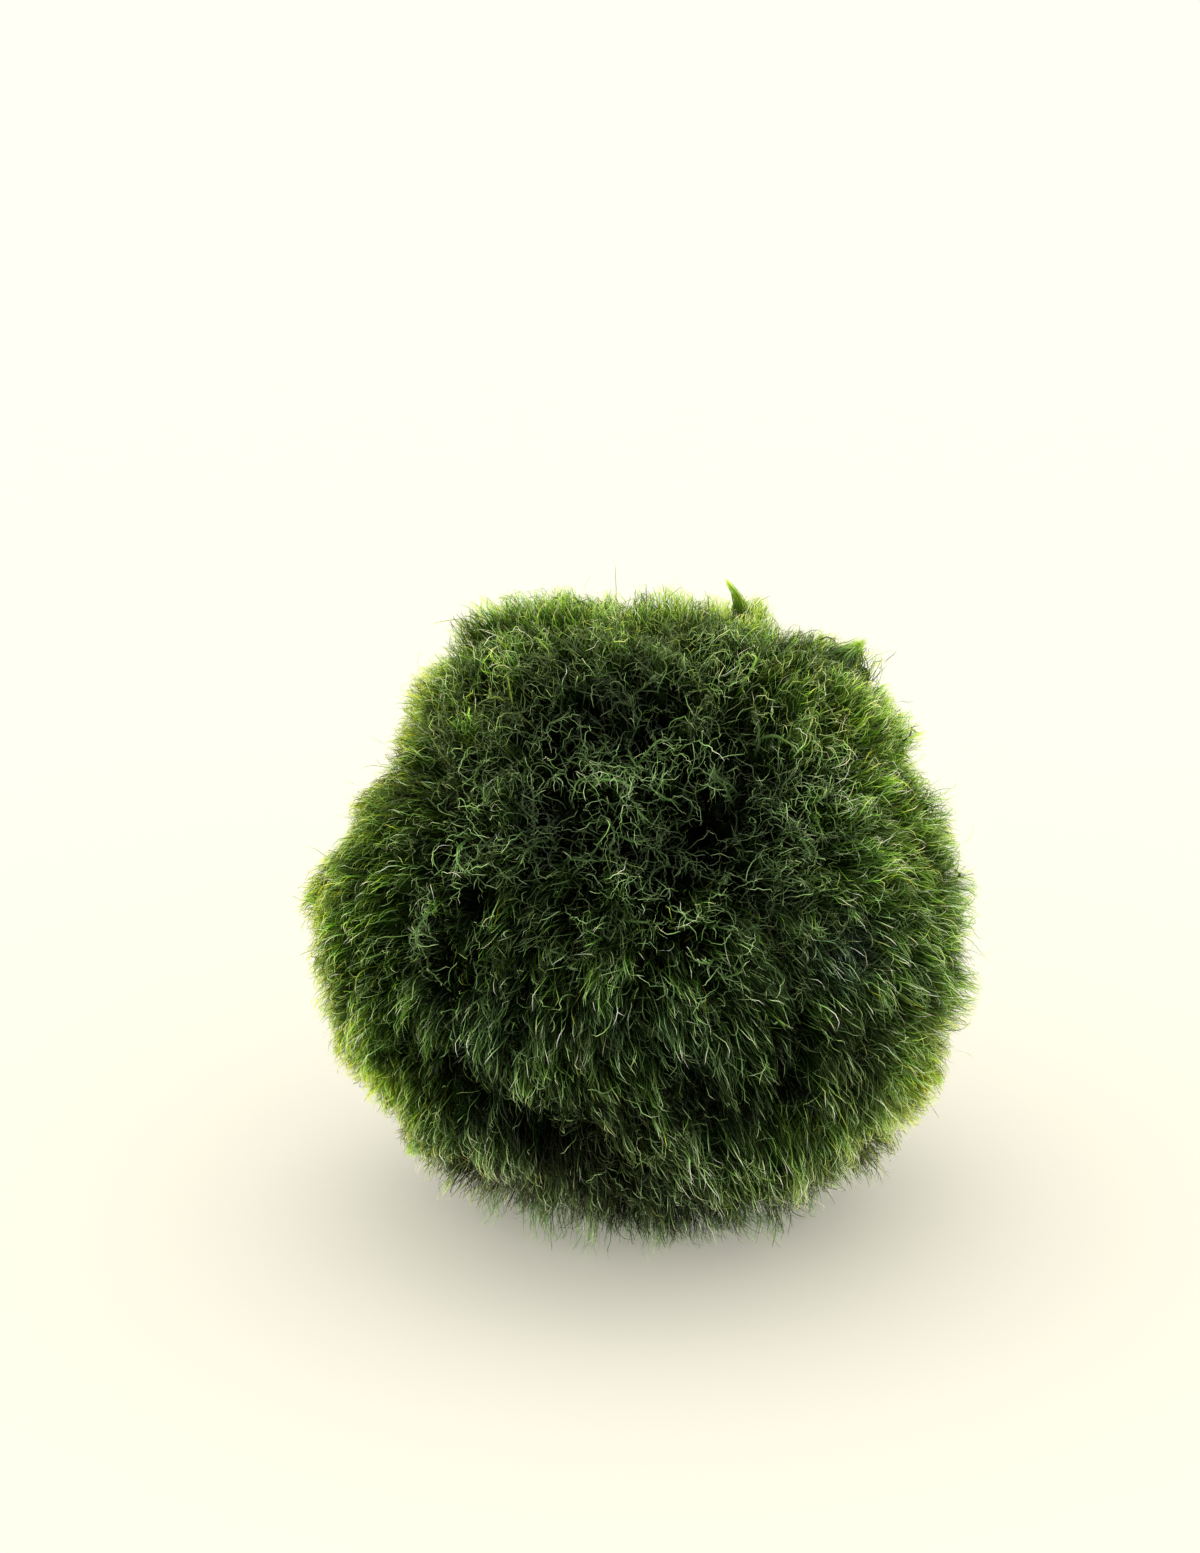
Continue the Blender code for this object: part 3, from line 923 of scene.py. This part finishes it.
def moss_material(name, roughness, gloss, through):
    """Damp algae filaments, coloured along their length, that let some light through."""
    material, surface, colour = coloured_material(name, roughness, gloss)
    nodes, links = material.node_tree.nodes, material.node_tree.links
    links.new(colour.outputs["Color"], surface.inputs["Base Color"])
    tint = multiplied(material.node_tree, colour.outputs["Color"])
    tint.inputs[7].default_value = THROUGH_TINT
    glow = nodes.new("ShaderNodeBsdfTranslucent")
    links.new(tint.outputs[2], glow.inputs["Color"])
    both = nodes.new("ShaderNodeMixShader")
    both.inputs[0].default_value = through
    links.new(surface.outputs[0], both.inputs[1])
    links.new(glow.outputs[0], both.inputs[2])
    links.new(both.outputs[0], nodes["Material Output"].inputs["Surface"])
    return material


def felt_material():
    """The felt under the filaments: dark green, streaked finely."""
    material, surface, colour = coloured_material("moss_felt", 0.9, 0.02)
    nodes, links = material.node_tree.nodes, material.node_tree.links
    fine = nodes.new("ShaderNodeTexNoise")
    set_inputs(fine, {"Scale": 2500, "Detail": 4})
    place = nodes.new("ShaderNodeTexCoord")
    links.new(place.outputs["Object"], fine.inputs["Vector"])
    ramp = nodes.new("ShaderNodeValToRGB")
    for stop, (position, level) in zip(ramp.color_ramp.elements, ((0.3, 0.3), (0.7, 1))):
        stop.position = position
        stop.color = (level, level, level, 1)
    links.new(fine.outputs["Fac"], ramp.inputs["Fac"])
    both = multiplied(material.node_tree, colour.outputs["Color"])
    links.new(ramp.outputs["Color"], both.inputs[7])
    links.new(both.outputs[2], surface.inputs["Base Color"])
    return material


# Pieces


def make_felt():
    """The closed form under the filaments: a cube's grid blown up to the tufts' own shape."""
    bpy.ops.mesh.primitive_cube_add(size=2)
    piece = bpy.context.object
    piece.name = "moss_felt"
    form = bmesh.new()
    form.from_mesh(piece.data)
    bmesh.ops.subdivide_edges(form, edges=form.edges[:], cuts=FELT_GRID - 1, use_grid_fill=True)
    form.to_mesh(piece.data)
    form.free()
    corners = np.array([v.co[:] for v in piece.data.vertices])
    ways = unit(np.tan(corners * math.pi / 4))
    crest = owners(ways, tufts)[3]
    edges = (1 - crest) ** 2 * EDGE_DEPTH + (1 - owners(ways, locks)[3]) ** 2 * LOCK_EDGE
    edges = edges * (1 - 0.6 * youth_and_rim_glow(ways))
    lumps = 0.25 * waves(ways, 0.16, 51) + 0.2 * waves(ways, 0.08, 52, 40)
    depth = FELT_DEPTH + sunken(ways) * 1.2 + edges - lumps * MM
    places = middle + ways * (read_map(skin, ways) - depth)[:, None]
    places[:, 2] = np.maximum(places[:, 2], low[2] + FELT_FOOT)
    piece.data.vertices.foreach_set("co", places.astype(np.float32).ravel())
    piece.data.update()
    piece.data.shade_smooth()
    # Lighter and yellow-green where the algae are young and where rim glow is painted
    glow_and_youth = youth_and_rim_glow(ways)[:, None]
    body = mixed(np.array(FELT_DARK), np.array(FELT_YOUTH_AND_RIM_GLOW), glow_and_youth)
    # Painted light on crests and lumps, and painted shade where the felt lies deeper
    gain = np.exp(1.6 * (crest - 0.6) + 1.2 * lumps - 0.9 * (depth - FELT_DEPTH) / MM)
    paint(piece.data, body * gain[:, None])
    piece.data.materials.append(felt_material())
    return piece


def sector(directions):
    """Which third of the ball a place is in: the front, or the left or right of the back."""
    turn = np.degrees(np.arctan2(directions[:, 0], -directions[:, 1]))
    return np.where(np.abs(turn) < 60, 0, np.where(turn > 0, 2, 1))


SECTORS = ("front", "back_left", "back_right")


def add_coat(name, clumps, material, pale_and_glint_share, brightness, variety, **shape):
    """One piece of strands for each third of the ball."""
    lines, width, which, below = grow(clumps, **shape)
    points = lines.shape[1]
    colours, gain = strand_colours(clumps, which, below, points, pale_and_glint_share, brightness, variety)
    third = sector(clumps.tips[which])
    chosen = [third == i for i in range(len(SECTORS))]
    return [
        strand_mesh(f"{name}_{part}", material, lines[own], width[own], colours[own], gain[own])
        for part, own in zip(SECTORS, chosen)
    ]


def thread_starts(count, even_share):
    """Places for threads: most where the filaments are matted, some anywhere."""
    ways = even_directions(count * 12, 0.7)
    ways = ways[ways[:, 2] > -0.75]
    chance = (matted(ways) + even_share) * (1 - 0.8 * youth_and_rim_glow(ways)) * np.exp(-1.2 * zone(ways, HOLES))
    return ways[rng.choice(len(ways), count, replace=False, p=chance / chance.sum())]


def arched(count, steps, start, rise, end):
    """Heights above the skin along threads that rise from it and dip into it again."""
    share = np.linspace(0, 1, steps + 1)
    height = start + (end - start) * share + rise * np.sin(math.pi * share)
    return (height[None] + rng.normal(0, 0.08, (count, steps + 1))) * MM


def thread_piece(name, material, lines, widths, stops, gain, sides=2):
    """One piece of matted threads, coloured by these stops but yellow where they are young and where rim
    glow is painted, and painted lighter and darker at the listed places as painted light and shade.
    """
    glow_and_youth = youth_and_rim_glow(unit(lines[:, 0] - middle))[:, None, None]
    share = np.linspace(0, 1, lines.shape[1])
    colours = mixed(colours_along(stops, share), colours_along(YELLOW, share), glow_and_youth)
    gain = gain * tone(unit(lines[:, lines.shape[1] // 2] - middle))
    return strand_mesh(name, material, lines, widths, colours, gain, sides)


def make_stems(material):
    """Stems like bottle brushes: thick threads that wander, with short hairs all along."""
    starts = thread_starts(STEMS, 0.02)
    headings = unit(random_tangents(starts))
    heights = arched(STEMS, STEM_STEPS, *STEM_ARCH)
    stems, ways, headings = wander(starts, headings, STEM_STEPS, STEM_STEP, 0.3, heights)
    thick = rng.uniform(*STEM_WIDTHS, STEMS) * MM
    profile = np.interp(np.arange(STEM_STEPS), (0, 2, 5, STEM_STEPS), (0.8, 1, 0.7, 0.3))
    gain = np.exp(rng.normal(0, 0.45, STEMS))
    pieces = [thread_piece("thread_stems", material, stems, thick[:, None] * profile, STEM, gain, 4)]

    origin = np.repeat(np.arange(STEMS), STEM_HAIRS)
    n = len(origin)
    spot = rng.uniform(0.5, STEM_STEPS, n)
    before = np.minimum(spot.astype(int), STEM_STEPS - 1)
    blend = (spot - before)[:, None]
    roots = mixed(stems[origin, before], stems[origin, before + 1], blend)
    way = ways[origin, before]
    forward = unit(headings[origin, before])
    around = rng.normal(size=(n, 3))
    spread = unit(forward * 0.5 + around * 0.55 + way * 0.2)
    length = np.clip(rng.exponential(0.5, (n, 1)) + 0.25, 0.25, 1.5) * MM
    tips, tip_ways = roots + spread * length, unit(spread + rng.normal(size=(n, 3)) * 0.6)
    lines = bent_lines(roots, tips, unit(forward + spread), tip_ways, np.linspace(0, 1, 4))
    widths = tapered(n, STEM_HAIR_WIDTHS, 3, 0.7)
    gain = gain[origin] * np.exp(rng.normal(-0.35, 0.5, n))
    return pieces + [thread_piece("stem_hairs", material, lines, widths, THREAD, gain)]


def make_loose_threads(material):
    """Fine kinked threads that wander over the skin, lower towards the outline."""
    starts = thread_starts(LOOSE, 0.05)
    heights = arched(LOOSE, LOOSE_STEPS, *LOOSE_ARCH) - LOOSE_LOWER * belt(starts, LOOSE_BELT)[:, None]
    headings = unit(random_tangents(starts))
    lines, _, _ = wander(starts, headings, LOOSE_STEPS, LOOSE_STEP, 0.3, heights)
    lines = lines + rng.normal(size=lines.shape) * KINK
    widths = tapered(LOOSE, LOOSE_WIDTHS, LOOSE_STEPS, 0.6)
    gain = np.exp(rng.normal(-0.5, 0.75, LOOSE))
    return [thread_piece("loose_threads", material, lines, widths, THREAD, gain)]


def make_threads():
    """Matted threads, mostly round the crown."""
    look = moss_material("moss_threads", 0.35, 0.2, 0.3)
    return make_stems(look) + make_loose_threads(look)


def pointed_tuft(round_deg, toward_deg, turn_deg, height, base, count):
    """A tuft that stands out of the outline: its hairs' lines, their widths and how bright they are."""
    height, base = height * MM, base * MM
    out = facing(round_deg, toward_deg)
    way = facing(round_deg + turn_deg, toward_deg)
    foot = unit(out + tangent_part(rng.normal(size=(count, 3)), out) * base / FOOT_RADIUS)
    tips = on_skin(out[None], height * 0.3) + way * height
    tips = tips + rng.normal(size=(count, 3)) * base * 0.22
    tips = tips - way * rng.exponential(0.3 * height, (count, 1))
    tip_ways = unit(way + rng.normal(size=(count, 3)) * 0.15)
    lines = bent_lines(on_skin(foot, -1.2 * MM), tips, foot, tip_ways, SHARES)
    lines = lines + rng.normal(size=lines.shape) * 0.03 * MM
    widths = tapered(count, TUFT_HAIR_WIDTHS, HAIR_STEPS, 0.6)
    return lines, widths, np.exp(rng.normal(0.1, 0.35, count))


def stray_hairs():
    """Single hairs that stand out all round: their lines, their widths and how bright they are."""
    ways = unit(even_directions(STRAYS, 0.8) * (1, 0.8, 1))
    ways = ways[ways[:, 2] > -0.55]
    count = len(ways)
    out = unit(ways + random_tangents(ways) * 0.7)
    tips = on_skin(ways, 0.6 * MM) + out * np.minimum(rng.exponential(STRAY_MEAN, (count, 1)), STRAY_MOST)
    tip_ways = unit(out + rng.normal(size=out.shape) * 0.6)
    lines = bent_lines(on_skin(ways, -0.6 * MM), tips, ways, tip_ways, SHARES)
    lines = curled(lines, np.full(count, 0.3 * MM), SHARES, np.full(count, 1.6))
    widths = tapered(count, STRAY_WIDTHS, HAIR_STEPS, 0.7)
    return lines, widths, np.exp(rng.normal(0, 0.4, count))


def splayed_tufts():
    """Small tufts that lie on the surface: their hairs' lines, their widths and how bright they are."""
    count = SPLAYED * SPLAYED_HAIRS
    turn = np.repeat(rng.uniform(0, 2 * math.pi, SPLAYED), SPLAYED_HAIRS) + rng.normal(0, 0.05, count)
    down = np.repeat(rng.uniform(*SPLAYED_FROM, SPLAYED), SPLAYED_HAIRS) + rng.normal(0, 0.01, count)
    flat = np.stack((np.cos(turn), np.sin(turn), np.zeros(count)), 1)
    ways = unit(flat * np.sqrt(1 - down**2)[:, None] + np.array((0, 0, 1)) * down[:, None])
    start = on_skin(ways, -0.8 * MM)
    aside = np.repeat(rng.normal(0, 0.6, SPLAYED), SPLAYED_HAIRS) + rng.normal(0, 0.3, count)
    heading = unit(flat + np.cross(flat, (0, 0, 1)) * aside[:, None])
    reach = np.repeat(rng.uniform(*SPLAYED_REACH, SPLAYED), SPLAYED_HAIRS) * rng.uniform(0.4, 1, count)
    tips = start + heading * reach[:, None]
    tips[:, 2] = low[2] + rng.uniform(*SPLAYED_HEIGHTS, count)
    lines = bent_lines(start, tips, ways, heading, SHARES)
    lines = curled(lines, np.full(count, 0.25 * MM), SHARES, np.full(count, 1.6))
    widths = tapered(count, SPLAYED_WIDTHS, HAIR_STEPS, 0.7)
    return lines, widths, np.exp(rng.normal(-0.4, 0.5, count))


def long_hair(round_deg, toward_deg, turn_deg, length):
    """A long single hair at the outline: its line, its widths and how bright it is."""
    out = facing(round_deg, toward_deg)[None]
    way, tip_way = (facing(round_deg + turn_deg + more, toward_deg)[None] for more in (0, 25))
    tip = on_skin(out, 0.3 * MM) + way * length * MM
    line = bent_lines(on_skin(out, -1.0 * MM), tip, unit(out + way), tip_way, SHARES)
    line = line + rng.normal(size=line.shape) * 1.5 * KINK
    return line, LONG_HAIR_WIDTH * np.linspace(1, 0.6, HAIR_STEPS)[None], np.ones(1)


def make_tufts_and_strays():
    """One piece of the hairs that stand out of the outline and those splayed on the surface."""
    groups = [pointed_tuft(*tuft) for tuft in POINTED_TUFTS]
    groups += [stray_hairs(), splayed_tufts()]
    groups += [long_hair(*hair) for hair in LONG_HAIRS]
    lines, widths, gains = (np.concatenate(parts) for parts in zip(*groups))
    # Lighter and yellow where young and where rim glow is painted
    glow_and_youth = youth_and_rim_glow(unit(lines[:, 0] - middle))[:, None, None]
    colours = mixed(colours_along(THREAD, SHARES), colours_along(FRESH_AND_RIM_GLOW, SHARES), glow_and_youth)
    warm = (rng.random(len(lines)) < 0.35)[:, None, None] * glow_and_youth
    colours = mixed(colours, colours_along(YELLOW, SHARES), warm) * 1.6
    look = moss_material("moss_strays", 0.4, 0.1, 0.5)
    return strand_mesh("tufts_and_strays", look, lines, widths, colours, gains)


def make_filaments():
    """The undercoat, the coat and the fine hairs over it."""
    dull = moss_material("moss_undercoat", 0.8, 0.0, 0.3)
    damp = moss_material("moss_filaments", 0.4, 0.06, 0.45)
    bright = moss_material("moss_fine_hairs", 0.35, 0.3, 0.35)
    # The undercoat is painted darker than the coat, partly as painted shade among the filaments
    pieces = add_coat(
        "undercoat", Clumps(5600), dull, pale_and_glint_share=0.0, brightness=0.5, variety=0.3,
        per_clump=7, points=3, spread=0.7 * MM, tip_spread=0.55 * MM, depth=ROOT_DEPTH,
        drop=0.5 * MM, proud=0.5 * MM, widths=(0.08, 0.12),
    )
    pieces += add_coat(
        "coat", Clumps(7000), damp, pale_and_glint_share=0.08, brightness=1.3, variety=0.55,
        per_clump=9, points=6, spread=0.65 * MM, tip_spread=0.3 * MM, depth=ROOT_DEPTH * 0.85,
        drop=0.35 * MM, proud=1.4 * MM, widths=(0.048, 0.075), curl=0.26,
    )
    # The fine hairs are painted much lighter and often pale: pale filaments, and painted highlight of
    # glints on wet filaments
    pieces += add_coat(
        "fine_hairs", Clumps(17000, wild=0.4), bright, pale_and_glint_share=0.50, brightness=3.3, variety=0.85,
        per_clump=2, points=6, spread=0.5 * MM, tip_spread=0.5 * MM, depth=ROOT_DEPTH * 0.8,
        drop=0.3 * MM, proud=1.6 * MM, widths=(0.042, 0.064), stretch=0.7, curl=0.36,
    )
    return pieces


# Surface, light and camera


def make_floor():
    """A plain pale surface, which is not part of the object."""
    bpy.ops.mesh.primitive_plane_add(size=FLOOR_SIZE)
    floor = bpy.context.object
    floor.name = "floor"
    material, surface = plain_material("pale_surface", 0.9, 0.1)
    glow = {"Emission Color": FLOOR_GLOW, "Emission Strength": FLOOR_GLOW_STRENGTH}
    set_inputs(surface, {"Base Color": FLOOR_COLOUR, **glow})
    floor.data.materials.append(material)


def make_sky():
    """An even pale backdrop, and soft daylight that is brightest low down before the ball."""
    world = bpy.data.worlds.new("soft_day")
    world.use_nodes = True
    nodes, links = world.node_tree.nodes, world.node_tree.links
    place = nodes.new("ShaderNodeTexCoord")
    parts = nodes.new("ShaderNodeSeparateXYZ")
    links.new(place.outputs["Generated"], parts.inputs[0])

    def graded(source, start, end, first, last):
        node = nodes.new("ShaderNodeMapRange")
        node.interpolation_type = "SMOOTHSTEP"
        set_inputs(node, {1: start, 2: end, 3: first, 4: last})
        links.new(source, node.inputs[0])
        return node.outputs[0]

    level = nodes.new("ShaderNodeMix")
    links.new(graded(parts.outputs["Y"], -0.8, 0.1, LOW_FRONT, LOW_BACK), level.inputs[2])
    links.new(graded(parts.outputs["Z"], 0.17, 0.5, 0, 1), level.inputs[0])
    links.new(graded(parts.outputs["Y"], -0.7, 0.3, SKY_FRONT, SKY_BACK), level.inputs[3])
    seen = nodes.new("ShaderNodeLightPath")
    whole = nodes.new("ShaderNodeMix")
    whole.inputs[3].default_value = BACKDROP
    links.new(seen.outputs["Is Camera Ray"], whole.inputs[0])
    links.new(level.outputs[0], whole.inputs[2])
    sky = nodes["Background"]
    sky.inputs["Color"].default_value = SKY_COLOUR
    links.new(whole.outputs[0], sky.inputs["Strength"])
    bpy.context.scene.world = world


def make_light():
    """The sky and a weak, broad sun behind the ball."""
    scene = bpy.context.scene
    make_sky()
    lamp = bpy.data.lights.new("window", "SUN")
    lamp.energy = SUN_STRENGTH
    lamp.angle = math.radians(SUN_SIZE)
    lamp.color = SUN_COLOUR
    window = bpy.data.objects.new("window", lamp)
    window.rotation_euler = (-Vector(SUN_FROM)).to_track_quat("-Z", "Y").to_euler()
    scene.collection.objects.link(window)
    scene.view_settings.view_transform = "Standard"
    scene.view_settings.look = "None"
    scene.view_settings.exposure = 0
    scene.view_settings.gamma = 1


def make_camera():
    """Looks level with the photograph: the ball's middle shows where it does there, as wide as there."""
    lens = bpy.data.cameras.new("camera")
    lens.lens = LENS_MM
    lens.sensor_width = SENSOR_MM
    lens.clip_start = 0.01
    camera = bpy.data.objects.new("camera", lens)
    pixels = LENS_MM / SENSOR_MM * FRAME_SIZE[1]
    across = (BALL_AT[0] - FRAME_SIZE[0] / 2) / pixels
    down = (BALL_AT[1] - FRAME_SIZE[1] / 2) / pixels
    tilt = math.pi / 2 - (SEEN_FROM - math.atan(down))
    turn = Matrix.Rotation(tilt, 3, "X")
    ray = turn @ Vector((across, -down, -1)).normalized()
    away = (high[0] - low[0]) * pixels / BALL_WIDTH_PX
    camera.location = Vector(middle) - ray * away
    camera.rotation_euler = turn.to_euler()
    bpy.context.scene.collection.objects.link(camera)
    bpy.context.scene.camera = camera


def main():
    pieces = [make_felt()] + make_filaments() + make_threads() + [make_tufts_and_strays()]
    for piece in pieces:
        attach(piece, "root")
        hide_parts("moss_ball")
        print(piece.name, len(piece.data.loops) - 2 * len(piece.data.polygons), "triangles", flush=True)
    make_floor()
    make_light()
    make_camera()


main()
